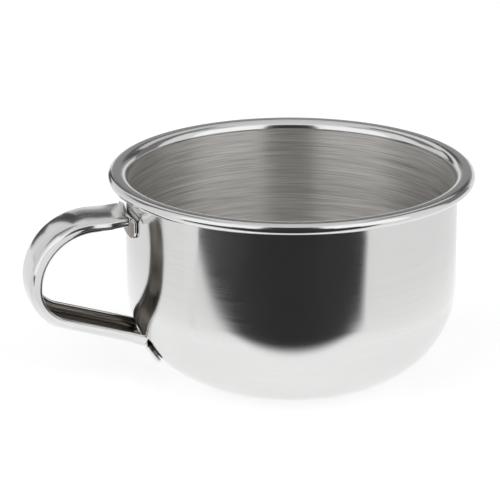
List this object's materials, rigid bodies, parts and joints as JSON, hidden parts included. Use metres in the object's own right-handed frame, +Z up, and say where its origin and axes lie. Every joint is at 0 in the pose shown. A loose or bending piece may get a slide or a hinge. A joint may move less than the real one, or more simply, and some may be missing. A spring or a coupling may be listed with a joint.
{
  "type": "shaving mug",
  "caption": "Low round steel lather bowl with an upright wall, rounded bottom, rolled lip and a welded channel-section loop handle.",
  "frame": {"origin": "centre of the flat base, on the bowl's axis, at the surface it rests on", "axes": "+Z is up along the bowl's axis; the handle stands out along -X"},
  "size_m": [0.1241, 0.1, 0.0583],
  "materials": {
    "bowl_steel": "mirror polished outside with fine horizontal hairlines, brushed round the inside",
    "handle_steel": "polished outside, duller inside the channel",
    "weld_steel": "plain fused steel"
  },
  "bodies": {
    "root": {"bowl_shell": "bowl_steel", "handle_strap": "handle_steel", "upper_spot_welds": "weld_steel", "lower_spot_welds": "weld_steel"}
  },
  "joints": []
}
